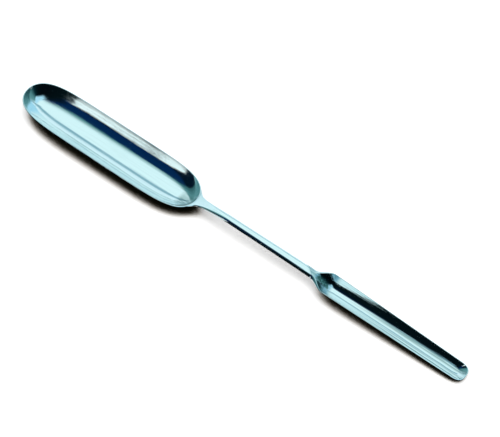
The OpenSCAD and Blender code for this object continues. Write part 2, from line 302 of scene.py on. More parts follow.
# The top line, half width, thickness and outer edge of the stem and the narrow scoop along the length
def top_z(x):
    if x < waist_x:
        t = part_way(x, broad_heel_x, waist_x)
        return sweep_z(t, SHOULDER_L, broad_rim_z(broad_heel_x), WAIST_Z, 0, WAIST_SLOPE)
    if x < scarf_x:
        t = part_way(x, waist_x, scarf_x)
        return sweep_z(t, scarf_x - waist_x, WAIST_Z, scarf_top_z, WAIST_SLOPE, narrow_slope)
    return scarf_top_z + narrow_slope * (x - scarf_x)


def half_w(x):
    if x < waist_x:
        flare = (1 - part_way(x, broad_heel_x, waist_x)) ** SHOULDER_FLARE
        return mix(WAIST_W, SHOULDER_W, flare) / 2
    if x < scarf_x:
        return mix(WAIST_W, SCARF_W, ease(part_way(x, waist_x, scarf_x))) / 2
    channel_w = mix(narrow_heel_w, NARROW_TIP_W, part_way(x, channel_x, tip_round_x))
    return mix(SCARF_W, channel_w, channel_share(x)) / 2


def thick(x):
    if x < waist_x:
        heel_t = broad_rim_z(broad_heel_x) - DROP_Z
        return mix(heel_t, STEM_T, ease(part_way(x, broad_heel_x, waist_x)))
    return mix(STEM_T, full_depth(x) + NARROW_FLOOR, channel_share(x))


def channel_share(x):
    """How far the neck has opened into the full channel at x, from 0 to 1."""
    return ease(part_way(x, flare_x, channel_x))


def ramp_share(x):
    """How much of its full depth the hollow has at x, where it ramps down from the neck's top."""
    return ease(part_way(x, ramp_x, ramp_x + NARROW_RAMP_L))


def full_depth(x):
    """The hollow's depth along the channel, which shallows from the heel to the tip."""
    shallowing = (1 - part_way(x, channel_x, tip_round_x)) ** NARROW_SHALLOWING
    return mix(NARROW_TIP_DEPTH, NARROW_HEEL_DEPTH, shallowing)


def channel_depth(x):
    return full_depth(x) * ramp_share(x)


def edge_r(x):
    if x < waist_x:
        return mix(BROAD_EDGE_R, STEM_EDGE_R, ease(part_way(x, broad_heel_x, waist_x)))
    return mix(STEM_EDGE_R, NARROW_EDGE_R, channel_share(x))


def slant_x(x, slant, share, inset):
    """Where a line that leaves the axis at x and slants as the scarf does has gone out by the share of
    the half width, less the inset there."""
    at = x
    for _ in range(SLANT_ROUNDS):
        at = x - slant * (half_w(at) - inset(at)) * share
    return at


# Stem sections: rows from the round back up over the edges to the flat top, each row going across
def section_rows():
    """Each row's share of the way out, its turn over the edge and its height up the back."""
    back = [
        (r, SLIM_CORNER, bowl_rise(part_way(r, KEEL_SHARE, 1), SLIM_BACK_CURVE))
        for r in ring_shares(KEEL_SHARE, BACK_STEPS)
    ]
    return back + [(1.0, turn, 1.0) for turn in steps(SLIM_CORNER, math.pi / 2, EDGE_STEPS)[1:]]


def row_inset(row, sink):
    def inset(x):
        return sink + edge_r(x) * outer_edge(row[1], SLIM_CORNER)[0]

    return inset


def section_point(x, row, across, sink):
    r, turn, rise = row
    y = (half_w(x) - row_inset(row, sink)(x)) * r * across
    drop = edge_r(x) * outer_edge(turn, SLIM_CORNER)[1]
    return y, mix(top_z(x) - thick(x) + sink, top_z(x) - sink - drop, rise)


def shoulder_section(x, off, sink=0.0):
    """The section at x, bent back along X near the shoulder's end to follow the broad heel."""
    bend = (1 - part_way(x, broad_heel_x, waist_x)) ** SHOULDER_BEND
    grid = []
    for row in section_rows():
        points = []
        for across in steps(-1, 1, ACROSS_STEPS):
            y, z = section_point(x, row, across, sink)
            points.append((mix(x, heel_x(y, z) + off, bend), y, z))
        grid.append(points)
    return grid


def scarf_section(x, sink=0.0):
    """The section at x, slanted along X near the stem's end to follow the scarf."""
    slant = SCARF_SLANT * ease(part_way(x, scarf_x - SCARF_TURN_L, scarf_x - scarf_gap))
    grid = []
    for row in section_rows():
        points = []
        for across in steps(-1, 1, ACROSS_STEPS):
            at = slant_x(x, slant, row[0] * across, row_inset(row, sink))
            points.append((at, *section_point(at, row, across, sink)))
        grid.append(points)
    return grid


def stem_sections():
    turn_x = scarf_x - SCARF_TURN_L
    seat = SOLDER_FIT + SOLDER_T
    shoulder = [shoulder_section(x, seat) for x in steps(broad_heel_x, waist_x, SHOULDER_STEPS)]
    plain = [scarf_section(x) for x in steps(waist_x, turn_x, STEM_STEPS)[1:]]
    scarf = [scarf_section(x) for x in steps(turn_x, scarf_x - scarf_gap, SCARF_STEPS)[1:]]
    return shoulder + plain + scarf


# Narrow scoop: lines from the keel out to the rim, down the near side, round the tip and back
def narrow_lines():
    marks = steps(scarf_x, flare_x, NECK_STEPS)
    marks += steps(flare_x, channel_x, FLARE_STEPS)[1:]
    marks += steps(channel_x, tip_round_x, CHANNEL_STEPS)[1:]
    near = [(x, 0.0, -1.0) for x in marks]
    far = [(x, 0.0, 1.0) for x in reversed(marks)]
    tip = []
    for angle in steps(-math.pi / 2, math.pi / 2, TIP_STEPS)[1:-1]:
        round_x = power(math.cos(angle), 2 / NARROW_PLAN)
        round_y = power(math.sin(angle), 2 / NARROW_PLAN)
        tip.append((tip_round_x, round_x, round_y))
    return near + tip + far


def narrow_ring(lines, r, inset, height):
    """One ring of the narrow scoop; height gives a point's height from its place along the top line."""
    ring = []
    for start, round_x, round_y in lines:
        slant = SCARF_SLANT * (1 - ease(part_way(start, scarf_x, scarf_x + SCARF_TURN_L)))
        at = slant_x(start, slant, r * round_y, inset)
        x = at + (NARROW_TIP_L - inset(at)) * r * round_x
        ring.append((x, (half_w(at) - inset(at)) * r * round_y, height(at, x)))
    return ring


def narrow_rings():
    lines = narrow_lines()
    rings = []
    for r in ring_shares(KEEL_SHARE, BACK_STEPS):
        rise = bowl_rise(part_way(r, KEEL_SHARE, 1), SLIM_BACK_CURVE)

        def back_z(at, x):
            return mix(top_z(at) - thick(at), top_z(x) - edge_r(at) * slim_edge_h, rise)

        rings.append(narrow_ring(lines, r, lambda at: 0.0, back_z))
    for turn in steps(SLIM_CORNER, math.pi / 2, EDGE_STEPS)[1:]:
        inset, drop = outer_edge(turn, SLIM_CORNER)
        rings.append(
            narrow_ring(
                lines, 1, lambda at: edge_r(at) * inset, lambda at, x: top_z(x) - edge_r(at) * drop
            )
        )
    for turn in steps(0, INNER_TURN, INNER_STEPS)[1:-1]:
        inset, drop = inner_edge(turn)

        def crest_inset(at):
            return edge_r(at) * slim_edge_w + inset

        rings.append(narrow_ring(lines, 1, crest_inset, lambda at, x: top_z(x) - drop * ramp_share(at)))
    for r in reversed(ring_shares(HOLLOW_SHARE, HOLLOW_STEPS)):
        rise = bowl_rise(r, NARROW_HOLLOW_CURVE)

        def wall_inset(at):
            return edge_r(at) * slim_edge_w + inner_edge_w

        def hollow_z(at, x):
            return mix(top_z(at) - channel_depth(at), top_z(x) - inner_edge_h * ramp_share(at), rise)

        rings.append(narrow_ring(lines, r, wall_inset, hollow_z))
    return rings


# Meshes
def make_piece(name, points, faces, worn, hollow, creases):
    """A smooth piece in metres, with crisp edges along the creases, which are lists of point numbers.
    Point by point, worn says how much handling has bared the surface, and hollow is 1 in a hollow."""
    mesh = bpy.data.meshes.new(name)
    mesh.from_pydata([tuple(c * MM for c in p) for p in points], [], faces)
    mesh.validate()
    mesh.attributes.new("worn", "FLOAT", "POINT").data.foreach_set("value", worn)
    mesh.attributes.new("hollow", "FLOAT", "POINT").data.foreach_set("value", hollow)
    mesh.shade_smooth()
    crisp = {frozenset(pair) for line in creases for pair in zip(line, line[1:])}
    flags = [frozenset(edge.vertices) in crisp for edge in mesh.edges]
    mesh.attributes.new("sharp_edge", "BOOLEAN", "EDGE").data.foreach_set("value", flags)
    mesh.update()
    piece = bpy.data.objects.new(name, mesh)
    bpy.context.collection.objects.link(piece)
    return piece


def make_shell(name, rings, closed, middle):
    """A shell from rings that go from the back's flat out over the lip and in to the hollow's floor.
    A closed shell's rings go right round, and an open one's start and end at a flat face. The point
    at middle lies on the long axis."""
    count = len(rings[0])
    last = len(rings) - 1
    spans = count if closed else count - 1
    faces = []
    for k in range(last):
        for i in range(spans):
            a, b = k * count + i, k * count + (i + 1) % count
            faces.append((a, a + count, b + count, b))

    def close_flat(base, flip):
        for i in range(count // 2):
            near, near_next = (middle + i) % count, (middle + i + 1) % count
            far, far_next = (middle - i) % count, (middle - i - 1) % count
            corners = [near, near_next, far_next, far]
            corners = [c for n, c in enumerate(corners) if c not in corners[:n]]
            if len(corners) < 3 or (not closed and near_next < near):
                continue
            corners = [base + c for c in corners]
            faces.append(tuple(reversed(corners)) if flip else tuple(corners))

    close_flat(0, False)
    close_flat(last * count, True)
    corner = [BACK_STEPS * count + i for i in range(count)]
    creases = [corner + corner[:1] if closed else corner]
    if not closed:
        face = [k * count for k in range(last + 1)]
        face += [k * count + count - 1 for k in range(last, -1, -1)]
        faces.append(tuple(reversed(face)))
        creases.append(face + face[:1])
    lip_start = BACK_STEPS
    lip_end = BACK_STEPS + EDGE_STEPS + INNER_STEPS
    worn = []
    hollow = []
    for k in range(last + 1):
        away = max(lip_start - k, k - lip_end, 0)
        worn += [max(0.0, 1 - away / WORN_RINGS)] * count
        hollow += [1.0 if k > lip_end else 0.0] * count
    return make_piece(name, [p for ring in rings for p in ring], faces, worn, hollow, creases)


def make_bar(name, sections):
    """A bar from sections that are all grids of the same size, closed by the first and the last."""
    rows, columns = len(sections[0]), len(sections[0][0])
    last = len(sections) - 1
    rim = list(range(columns - 1))
    rim += [r * columns + columns - 1 for r in range(rows - 1)]
    rim += [(rows - 1) * columns + c for c in range(columns - 1, 0, -1)]
    rim += [r * columns for r in range(rows - 1, 0, -1)]
    used = {}
    points = []

    def point(k, i):
        if (k, i) not in used:
            used[k, i] = len(points)
            points.append(sections[k][i // columns][i % columns])
        return used[k, i]

    faces = []
    for k in range(last):
        for i, a in enumerate(rim):
            b = rim[(i + 1) % len(rim)]
            faces.append((point(k, a), point(k + 1, a), point(k + 1, b), point(k, b)))
    for r in range(rows - 1):
        for c in range(columns - 1):
            a = r * columns + c
            corners = (a, a + 1, a + columns + 1, a + columns)
            faces.append(tuple(point(0, i) for i in corners))
            faces.append(tuple(point(last, i) for i in reversed(corners)))
    worn = [0.0] * len(points)
    for (k, i), n in used.items():
        if i // columns >= BACK_STEPS:
            worn[n] = 1.0 if i % columns in (0, columns - 1) else 0.0
    ends = [[point(k, i) for i in rim + rim[:1]] for k in (0, last)]
    edges = (BACK_STEPS * columns, BACK_STEPS * columns + columns - 1)
    corners = [[point(k, i) for k in range(last + 1)] for i in edges]
    return make_piece(name, points, faces, worn, [0.0] * len(points), ends + corners)


broad_bowl = make_shell("broad_bowl", broad_rings(), True, BROAD_END_STEPS // 2)
bowl_seam = make_bar(
    "bowl_seam",
    [
        shoulder_section(broad_heel_x, SOLDER_FIT, SOLDER_SINK),
        shoulder_section(broad_heel_x, SOLDER_FIT + SOLDER_T, SOLDER_SINK),
    ],
)
stem_bar = make_bar("stem_bar", stem_sections())
scarf_seam = make_bar(
    "scarf_seam",
    [scarf_section(scarf_x - scarf_gap, SOLDER_SINK), scarf_section(scarf_x, SOLDER_SINK)],
)
lines_count = len(narrow_lines())
narrow_channel = make_shell("narrow_channel", narrow_rings(), False, lines_count // 2)


# Node tree helpers
def add_node(tree, kind, **settings):
    node = tree.nodes.new(kind)
    for name, value in settings.items():
        setattr(node, name, value)
    return node


def feed(tree, socket, value):
    """Links a socket to another node's output, or sets it to a plain value."""
    if isinstance(value, bpy.types.NodeSocket):
        tree.links.new(value, socket)
    else:
        socket.default_value = value


def maths(tree, operation, *values):
    node = add_node(tree, "ShaderNodeMath", operation=operation)
    for socket, value in zip(node.inputs, values):
        feed(tree, socket, value)
    return node.outputs[0]


def times(tree, first, *others):
    """The product of two or more values."""
    product = first
    for value in others:
        product = maths(tree, "MULTIPLY", product, value)
    return product


def along(tree, vector, axis):
    """How far a vector goes along an axis."""
    node = add_node(tree, "ShaderNodeVectorMath", operation="DOT_PRODUCT")
    feed(tree, node.inputs[0], vector)
    node.inputs[1].default_value = axis
    return node.outputs["Value"]


def soft_step(tree, value, start, end):
    """0 before start and 1 after end, with a smooth turn between them."""
    node = add_node(tree, "ShaderNodeMapRange", interpolation_type="SMOOTHSTEP")
    feed(tree, node.inputs["Value"], value)
    feed(tree, node.inputs["From Min"], start)
    feed(tree, node.inputs["From Max"], end)
    return node.outputs["Result"]


def blend_colour(tree, share, first, second):
    node = add_node(tree, "ShaderNodeMix", data_type="RGBA")
    feed(tree, node.inputs["Factor"], share)
    feed(tree, node.inputs["A"], first)
    feed(tree, node.inputs["B"], second)
    return node.outputs["Result"]


def colour_ramp(tree, value, stops):
    node = add_node(tree, "ShaderNodeValToRGB")
    feed(tree, node.inputs["Fac"], value)
    ramp = node.color_ramp
    while len(ramp.elements) < len(stops):
        ramp.elements.new(0.5)
    for element, (place, colour) in zip(ramp.elements, stops):
        element.position = place
        element.color = (*colour, 1)
    return node.outputs["Color"]


# Finishes. Sizes are in millimetres, and a place on the surface is taken in the frame that all the pieces
# share, so lines run on from piece to piece.
def new_material(name):
    made = bpy.data.materials.new(name)
    made.use_nodes = True
    return made, made.node_tree, made.node_tree.nodes["Principled BSDF"]


def new_group(name, inputs, output):
    """A node group with a number socket for each input and one for its output."""
    group = bpy.data.node_groups.new(name, "ShaderNodeTree")
    for socket, value in inputs.items():
        made = group.interface.new_socket(socket, in_out="INPUT", socket_type="NodeSocketFloat")
        made.default_value = value
    group.interface.new_socket(output, in_out="OUTPUT", socket_type="NodeSocketFloat")
    given = add_node(group, "NodeGroupInput").outputs
    shown = add_node(group, "NodeGroupOutput").inputs[0]
    return group, given, shown


def place_group(tree, group, **values):
    node = add_node(tree, "ShaderNodeGroup", node_tree=group)
    for name, value in values.items():
        feed(tree, node.inputs[name], value)
    return node.outputs[0]


def place_in_mm(tree):
    node = add_node(tree, "ShaderNodeVectorMath", operation="SCALE")
    feed(tree, node.inputs[0], add_node(tree, "ShaderNodeTexCoord").outputs["Object"])
    node.inputs["Scale"].default_value = 1 / MM
    return node.outputs[0]


def stretched(tree, place, long, across):
    """The place, measured in so many millimetres along the length and across it."""
    sizes = add_node(tree, "ShaderNodeCombineXYZ")
    for socket, value in zip(sizes.inputs, (long, across, across)):
        feed(tree, socket, value)
    node = add_node(tree, "ShaderNodeVectorMath", operation="DIVIDE")
    feed(tree, node.inputs[0], place)
    feed(tree, node.inputs[1], sizes.outputs[0])
    return node.outputs[0]


def cloud(tree, place, detail):
    node = add_node(tree, "ShaderNodeTexNoise")
    feed(tree, node.inputs["Vector"], place)
    node.inputs["Scale"].default_value = 1.0
    node.inputs["Detail"].default_value = detail
    return node.outputs["Fac"]


def point_value(tree, name):
    """A value that the mesh carries point by point."""
    return add_node(tree, "ShaderNodeAttribute", attribute_name=name).outputs["Fac"]


def show_share(tree, grain, share, level, soft):
    """Where the grain rises past a level that falls as the share grows: the level is given as the share's
    factor and an offset."""
    start = maths(tree, "MULTIPLY_ADD", share, *level)
    return soft_step(tree, grain, start, maths(tree, "ADD", start, soft))


# How detailed each grain is, how far it is drawn out along the length and where it starts to show
LINE_DETAIL = 2.0
LINE_LEVEL = (-0.5, 0.75)
LINE_SOFT = 0.16
SWELL_STRETCH = 1.8
SWELL_DETAIL = 1.0
TARNISH_STRETCH = 2.0
TARNISH_DETAIL = 5.0
TARNISH_LEVEL = (-0.5, 0.7)
TARNISH_SOFT = 0.3
WEAR_DETAIL = 3.0
WEAR_STEP = (0.3, 0.7)
# The length and width of the darker streaks in the hollows, where they show, and the shares of a patch's
# half length and half width that are darkened fully
DARK_STREAK = (24.0, 0.5)
DARK_STREAK_DETAIL = 2.0
DARK_STREAK_STEP = (0.15, 0.6)
DARK_FULL_LENGTH = 0.45
DARK_FULL_WIDTH = 0.2
# How far the joint's stain is at its strongest, from its middle
STAIN_FULL = 0.3


def polish_lines_group():
    """Lines that a polishing stick leaves, turned from the length by an angle; share says how many show."""
    sizes = {"Length": 25.0, "Width": 0.2, "Turn": 0.0, "Share": 0.4}
    group, given, shown = new_group("polish_lines", sizes, "Lines")
    turned = add_node(group, "ShaderNodeVectorRotate", rotation_type="Z_AXIS")
    feed(group, turned.inputs["Vector"], place_in_mm(group))
    feed(group, turned.inputs["Angle"], given["Turn"])
    place = stretched(group, turned.outputs[0], given["Length"], given["Width"])
    grain = cloud(group, place, LINE_DETAIL)
    feed(group, shown, show_share(group, grain, given["Share"], LINE_LEVEL, LINE_SOFT))
    return group


def hand_finish_group():
    """The slow swell of a surface that was raised and planished by hand, in millimetres of height."""
    group, given, shown = new_group("hand_finish", {"Size": 10.0, "Height": 0.1}, "Swell")
    long = times(group, given["Size"], SWELL_STRETCH)
    swell = cloud(group, stretched(group, place_in_mm(group), long, given["Size"]), SWELL_DETAIL)
    feed(group, shown, times(group, swell, given["Height"]))
    return group


def tarnish_group():
    """A thin film that dulls the silver in patches, and that handling keeps off the edges."""
    group, given, shown = new_group("tarnish", {"Size": 15.0, "Share": 0.3}, "Dulling")
    long = times(group, given["Size"], TARNISH_STRETCH)
    patches = cloud(group, stretched(group, place_in_mm(group), long, given["Size"]), TARNISH_DETAIL)
    dulling = show_share(group, patches, given["Share"], TARNISH_LEVEL, TARNISH_SOFT)
    untouched = maths(group, "SUBTRACT", 1.0, point_value(group, "worn"))
    feed(group, shown, times(group, dulling, untouched))
    return group


def edge_wear_group():
    """Where handling and washing have bared the rims and the stem's edges."""
    group, given, shown = new_group("edge_wear", {"Size": 4.0}, "Bare")
    place = stretched(group, place_in_mm(group), given["Size"], given["Size"])
    patches = soft_step(group, cloud(group, place, WEAR_DETAIL), *WEAR_STEP)
    feed(group, shown, times(group, point_value(group, "worn"), patches))
    return group


def hollow_darkening_group():
    """A darker streaky patch in a hollow, round one place, with its half length and half width."""
    sizes = {"Along": 0.0, "Across": 0.0, "Length": 10.0, "Width": 1.0}
    group, given, shown = new_group("hollow_darkening", sizes, "Dulling")
    place = place_in_mm(group)
    streaks = cloud(group, stretched(group, place, *DARK_STREAK), DARK_STREAK_DETAIL)
    dulling = soft_step(group, streaks, *DARK_STREAK_STEP)
    for axis, middle, half, full in (
        ((1, 0, 0), "Along", "Length", DARK_FULL_LENGTH),
        ((0, 1, 0), "Across", "Width", DARK_FULL_WIDTH),
    ):
        past = maths(group, "SUBTRACT", along(group, place, axis), given[middle])
        off = maths(group, "ABSOLUTE", past)
        patch = soft_step(group, off, given[half], times(group, given[half], full))
        dulling = times(group, dulling, patch)
    feed(group, shown, times(group, dulling, point_value(group, "hollow")))
    return group


def joint_stain_group():
    """The blue-grey stain that heat leaves on the silver on both sides of the scarf joint."""
    group, given, shown = new_group("joint_stain", {"Shift": 0.0, "Reach": 3.0}, "Stain")
    past = maths(group, "SUBTRACT", along(group, place_in_mm(group), (1, SCARF_SLANT, 0)), scarf_x)
    off = maths(group, "ABSOLUTE", maths(group, "SUBTRACT", past, given["Shift"]))
    feed(group, shown, soft_step(group, off, given["Reach"], STAIN_FULL))
    return group


polish_lines = polish_lines_group()
hand_finish = hand_finish_group()
tarnish = tarnish_group()
edge_wear = edge_wear_group()
hollow_darkening = hollow_darkening_group()
joint_stain = joint_stain_group()

SILVER = (0.885, 0.935, 0.950, 1)
SILVER_DULL = (0.760, 0.835, 0.850, 1)
SILVER_BARE = (0.930, 0.950, 0.955, 1)
SOLDER = (0.520, 0.620, 0.660, 1)
SOLDER_DULL = (0.360, 0.450, 0.490, 1)
SOLDER_BARE = (0.620, 0.690, 0.710, 1)
# Teal tones that the darker patches in the hollows take
TEAL_DARKENING = (0.250, 0.350, 0.350, 1)
DEEP_TEAL_DARKENING = (0.130, 0.240, 0.240, 1)
HEAT_STAIN = (0.360, 0.520, 0.560, 1)
# Lines of the polish: their length and width in millimetres, turn and share, then the roughness that they
# add and their depth in millimetres. The first lines also dull the colour.
POLISH = (
    ({"Length": 28.0, "Width": 0.45, "Turn": 0.0, "Share": 0.45}, 0.04, 0.0050),
    ({"Length": 11.0, "Width": 0.14, "Turn": 0.10, "Share": 0.40}, 0.06, 0.0010),
    ({"Length": 6.0, "Width": 0.10, "Turn": -0.62, "Share": 0.16}, 0.14, 0.0010),
)
LINE_DULLING = 0.35
# Swell, tarnish and wear: the size of their patches, the swell's height, the roughness that tarnish adds
# and how far wear bares the colour
SWELL = {"Size": 9.0, "Height": 0.06}
TARNISH_SIZE = 13.0
TARNISH_ROUGH = 0.05
WEAR_SIZE = 3.0
WEAR_STRENGTH = 0.6
# Darker streaky teal patches laid on the hollows' colour: place and size in millimetres, strength and
# colour
DARK_PATCHES = (
    ({"Along": 112.0, "Across": 0.9, "Length": 62.0, "Width": 1.3}, 0.85, TEAL_DARKENING),
    ({"Along": 112.0, "Across": -1.65, "Length": 64.0, "Width": 0.7}, 0.55, TEAL_DARKENING),
    ({"Along": 40.0, "Across": 0.0, "Length": 8.0, "Width": 20.0}, 0.90, DEEP_TEAL_DARKENING),
    ({"Along": -26.2, "Across": -1.8, "Length": 4.6, "Width": 5.0}, 0.80, TEAL_DARKENING),
)
STAIN = {"Shift": 1.2, "Reach": 3.4}
STAIN_STRENGTH = 0.75


def silver_finish(name, bright, dull, bare, smooth, film_share):
    """Polished silver: its colours where it is clean, filmed and bared by wear, how rough it is where it
    is smoothest, and the share of it that is filmed."""
    made, tree, shader = new_material(name)
    lines = [place_group(tree, polish_lines, **sizes) for sizes, _, _ in POLISH]
    dulling = place_group(tree, tarnish, Size=TARNISH_SIZE, Share=film_share)
    wear = place_group(tree, edge_wear, Size=WEAR_SIZE)
    colour = blend_colour(tree, dulling, bright, dull)
    colour = blend_colour(tree, times(tree, lines[0], LINE_DULLING), colour, dull)
    colour = blend_colour(tree, times(tree, wear, WEAR_STRENGTH), colour, bare)
    # Darken streaky teal patches of the hollows, one by one
    for patch, strength, dark_colour in DARK_PATCHES:
        darkened = times(tree, place_group(tree, hollow_darkening, **patch), strength)
        colour = blend_colour(tree, darkened, colour, dark_colour)
    stain = times(tree, place_group(tree, joint_stain, **STAIN), STAIN_STRENGTH)
    colour = blend_colour(tree, stain, colour, HEAT_STAIN)
    feed(tree, shader.inputs["Base Color"], colour)
    rough = smooth
    height = place_group(tree, hand_finish, **SWELL)
    for mask, (_, more, deep) in zip(lines, POLISH):
        rough = maths(tree, "MULTIPLY_ADD", mask, more, rough)
        height = maths(tree, "MULTIPLY_ADD", mask, -deep, height)
    rough = maths(tree, "MULTIPLY_ADD", dulling, TARNISH_ROUGH, rough)
    feed(tree, shader.inputs["Roughness"], rough)
    bump = add_node(tree, "ShaderNodeBump")
    bump.inputs["Distance"].default_value = MM
    feed(tree, bump.inputs["Height"], height)
    feed(tree, shader.inputs["Normal"], bump.outputs[0])
    shader.inputs["Metallic"].default_value = 1.0
    return made


finishes = {
    "polished_silver": silver_finish(
        "polished_silver", SILVER, SILVER_DULL, SILVER_BARE, smooth=0.055, film_share=0.25
    ),
    "silver_solder": silver_finish(
        "silver_solder", SOLDER, SOLDER_DULL, SOLDER_BARE, smooth=0.16, film_share=0.7
    ),
}

for piece, node, finish in (
    (broad_bowl, "broad_scoop", "polished_silver"),
    (bowl_seam, "broad_solder", "silver_solder"),
    (stem_bar, "stem", "polished_silver"),
    (scarf_seam, "narrow_solder", "silver_solder"),
    (narrow_channel, "narrow_scoop", "polished_silver"),
):
    piece.data.materials.append(finishes[finish])
    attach(piece, "root")
    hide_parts(node)

# Stage: a white table under a large softbox, in a room that is bright beyond the table and dark on
# the near side. The room's axes are level, with AWAY from the camera and RIGHT across the picture.
VIEW_AZIMUTH = math.radians(36.29)
VIEW_ELEVATION = math.radians(60.0)
RIGHT = Vector((math.cos(VIEW_AZIMUTH), math.sin(VIEW_AZIMUTH), 0))
AWAY = Vector((-math.sin(VIEW_AZIMUTH), math.cos(VIEW_AZIMUTH), 0))
UP = Vector((0, 0, 1))

# Table. Its colour goes from deep shadow to white as more of the sky over it is open. It also glows in that
# colour, to the camera and in reflections, so that it shows white.
TABLE_HALF = 3.0
TABLE_STOPS = (
    (0.00, (0.004, 0.004, 0.002)),
    (0.04, (0.020, 0.017, 0.010)),
    (0.16, (0.150, 0.128, 0.095)),
    (0.34, (0.440, 0.410, 0.365)),
    (0.56, (0.710, 0.690, 0.660)),
    (0.82, (0.890, 0.880, 0.870)),
    (1.00, (0.970, 0.970, 0.970)),
)
TABLE_GLOW = 0.32
TABLE_ROUGH = 0.9
# Shares of open sky that give deep shadow and white, how far the sky is looked for and the way it leans
OPEN_SKY = (0.33, 0.57)
OPEN_REACH = 0.05
SKY_SAMPLES = 24
SKY_LEAN = Vector((-0.25, 0.6, 1.0)).normalized()

table_mesh = bpy.data.meshes.new("table")
corners = [(-1, -1), (1, -1), (1, 1), (-1, 1)]
table_mesh.from_pydata([(x * TABLE_HALF, y * TABLE_HALF, 0) for x, y in corners], [], [(0, 1, 2, 3)])
table = bpy.data.objects.new("table", table_mesh)
bpy.context.collection.objects.link(table)
white, white_tree, white_shader = new_material("white_table")
paths = add_node(white_tree, "ShaderNodeLightPath").outputs
sky_share = add_node(white_tree, "ShaderNodeAmbientOcclusion", samples=SKY_SAMPLES)
sky_share.inputs["Distance"].default_value = OPEN_REACH
lean = add_node(white_tree, "ShaderNodeCombineXYZ")
for socket, value in zip(lean.inputs, SKY_LEAN):
    socket.default_value = value
feed(white_tree, sky_share.inputs["Normal"], lean.outputs[0])
open_sky = soft_step(white_tree, sky_share.outputs["AO"], *OPEN_SKY)
first_look = maths(white_tree, "SUBTRACT", 1.0, paths["Diffuse Depth"])
table_colour = colour_ramp(white_tree, times(white_tree, open_sky, first_look), TABLE_STOPS)
looked_at = maths(white_tree, "MAXIMUM", paths["Is Camera Ray"], paths["Is Glossy Ray"])
looked_at = maths(white_tree, "MAXIMUM", looked_at, paths["Is Transmission Ray"])
feed(white_tree, white_shader.inputs["Base Color"], table_colour)
feed(white_tree, white_shader.inputs["Emission Color"], table_colour)
feed(white_tree, white_shader.inputs["Emission Strength"], times(white_tree, looked_at, TABLE_GLOW))
white_shader.inputs["Roughness"].default_value = TABLE_ROUGH
white_shader.inputs["Specular IOR Level"].default_value = 0.0
table.data.materials.append(white)

# The softbox's light on the table. The metal sees the softbox in the room instead.
KEY_LEVEL = 0.97
KEY_SPREAD = math.radians(75)
KEY_ACROSS = 0.05
KEY_AWAY = 0.05
key = bpy.data.lights.new("softbox_key", "SUN")
key.energy = math.pi * KEY_LEVEL
key.angle = KEY_SPREAD
key_light = bpy.data.objects.new("softbox_key", key)
key_from = RIGHT * KEY_ACROSS + AWAY * KEY_AWAY + UP
key_light.rotation_euler = key_from.to_track_quat("Z", "Y").to_euler()
key_light.visible_glossy = False
bpy.context.collection.objects.link(key_light)

# The room as polished metal sees it. A turn goes from RIGHT toward AWAY, and an edge is a soft start and
# end. The walls' colours go from the darkest side of the room to the brightest.
ROOM_TURN = math.radians(75)
ROOM_STOPS = (
    (0.00, (0.0008, 0.003, 0.0045)),
    (0.12, (0.0010, 0.006, 0.008)),
    (0.24, (0.002, 0.020, 0.028)),
    (0.38, (0.045, 0.150, 0.160)),
    (0.50, (0.090, 0.260, 0.275)),
    (0.68, (0.120, 0.310, 0.320)),
    (0.82, (0.320, 0.560, 0.600)),
    (0.92, (0.690, 0.940, 1.000)),
)
SOFTBOX_PALE = (0.72, 0.98, 1.0, 1)
SOFTBOX_BLUE = (0.42, 0.78, 0.94, 1)
GAP_TEAL = (0.22, 0.44, 0.52, 1)
LEFT_NAVY = (0.001, 0.020, 0.080, 1)
LEFT_DARK = (0.001, 0.007, 0.018, 1)
CARD_WHITE = (0.84, 1.00, 1.00, 1)
# Dark wall on the left, and a navy patch on it between two slanted edges, each with its slope
DARK_TURN = math.radians(199)
DARK_SIDES = (0.960, 0.972)
NAVY_TURN = math.radians(190)
NAVY_SIDES = (0.906, 0.918)
NAVY_LOW_SLOPE = 0.50
NAVY_LOW = (0.66, 0.72)
NAVY_HIGH_SLOPE = 1.05
NAVY_HIGH = (0.89, 0.84)
# White card in the dark half of the room: its two slanted top edges, each with its slope, its two ends
# and its shaded base
CARD_TURN = math.radians(211.5)
CARD_HALF = (0.0, -0.2)
CARD_RIGHT_SLOPE = 4.5
CARD_RIGHT_TOP = (0.498, 0.453)
CARD_LEFT_SLOPE = -2.62
CARD_LEFT_TOP = (0.735, 0.675)
CARD_RIGHT_END = (0.038, 0.028)
CARD_LEFT_END = (-0.150, -0.128)
CARD_BASE = (0.15, 0.27)
CARD_BASE_SHADE = 0.5
# Teal strip low on the bright wall
HORIZON = (0.10, 0.03)
HORIZON_HALF = (0.3, 0.6)
# Softbox overhead, as slopes from the table across the picture and away from the camera
LOWEST_LOOK = 0.02
SOFTBOX_LEFT = (-0.42, -0.17)
SOFTBOX_RIGHT = (1.00, 0.76)
SOFTBOX_NEAR = (-0.95, -0.45)
SOFTBOX_FAR = (0.98, 0.80)
BLUE_SLOPE = -0.6
BLUE_RIGHT = (-0.15, 0.35)
BLUE_NEAR = (0.12, -0.28)
# Teal gap between the softbox and the bright wall, and a dark flag at the softbox's near left corner
GAP_NEAR = (0.75, 0.95)
GAP_FAR = (1.6, 1.08)
GAP_LEFT = (-0.25, -0.05)
FLAG_NEAR = (-0.06, -0.22)
FLAG_SLOPE = -0.72
FLAG_SIDE = (-0.04, 0.03)


def level_direction(turn):
    return RIGHT * math.cos(turn) + AWAY * math.sin(turn)


def slanted_edge(tree, value, slope, other, edge):
    """A soft edge of a value that moves by the slope with another."""
    return soft_step(tree, maths(tree, "MULTIPLY_ADD", other, slope, value), *edge)


